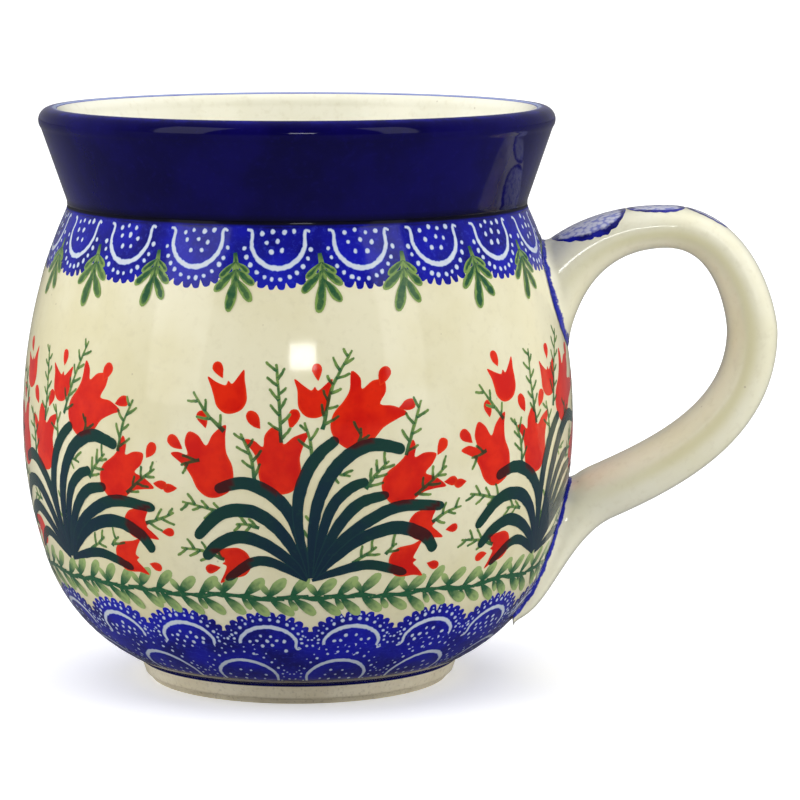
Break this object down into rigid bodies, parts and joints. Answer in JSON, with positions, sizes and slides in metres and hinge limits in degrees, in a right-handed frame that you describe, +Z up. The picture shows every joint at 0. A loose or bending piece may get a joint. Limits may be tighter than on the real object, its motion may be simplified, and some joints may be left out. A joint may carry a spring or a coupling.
{
  "type": "polish stoneware mug",
  "caption": "Round-bellied stoneware mug with a flared collar, a turned foot ring and a strap handle for one hand, for hot drinks.",
  "frame": {"origin": "on the table under the mug's axis, the middle of the foot ring's flat underside", "axes": "+Z up along the mug's axis, +X towards the handle, +Y across the handle"},
  "size_m": [0.1252, 0.0914, 0.095],
  "materials": {
    "stoneware": "bare fired clay, matt and slightly gritty",
    "slip": "fired slip, matt",
    "cobalt_glaze": "deep cobalt glaze, high gloss",
    "ivory_glaze": "ivory glaze, high gloss",
    "decorated_glaze": "clear glaze over stamped and brushed cobalt, green and red decoration, high gloss",
    "clear_glaze": "thin clear glaze over cream clay, gloss"
  },
  "bodies": {
    "root": {"vessel": "stoneware", "handle": "stoneware", "upper_slip_joint": "slip", "lower_slip_joint": "slip", "collar_glaze": "cobalt_glaze", "liner_glaze": "ivory_glaze", "belly_glaze": "decorated_glaze", "foot_glaze": "clear_glaze", "well_glaze": "clear_glaze", "handle_glaze": "ivory_glaze"}
  },
  "joints": []
}
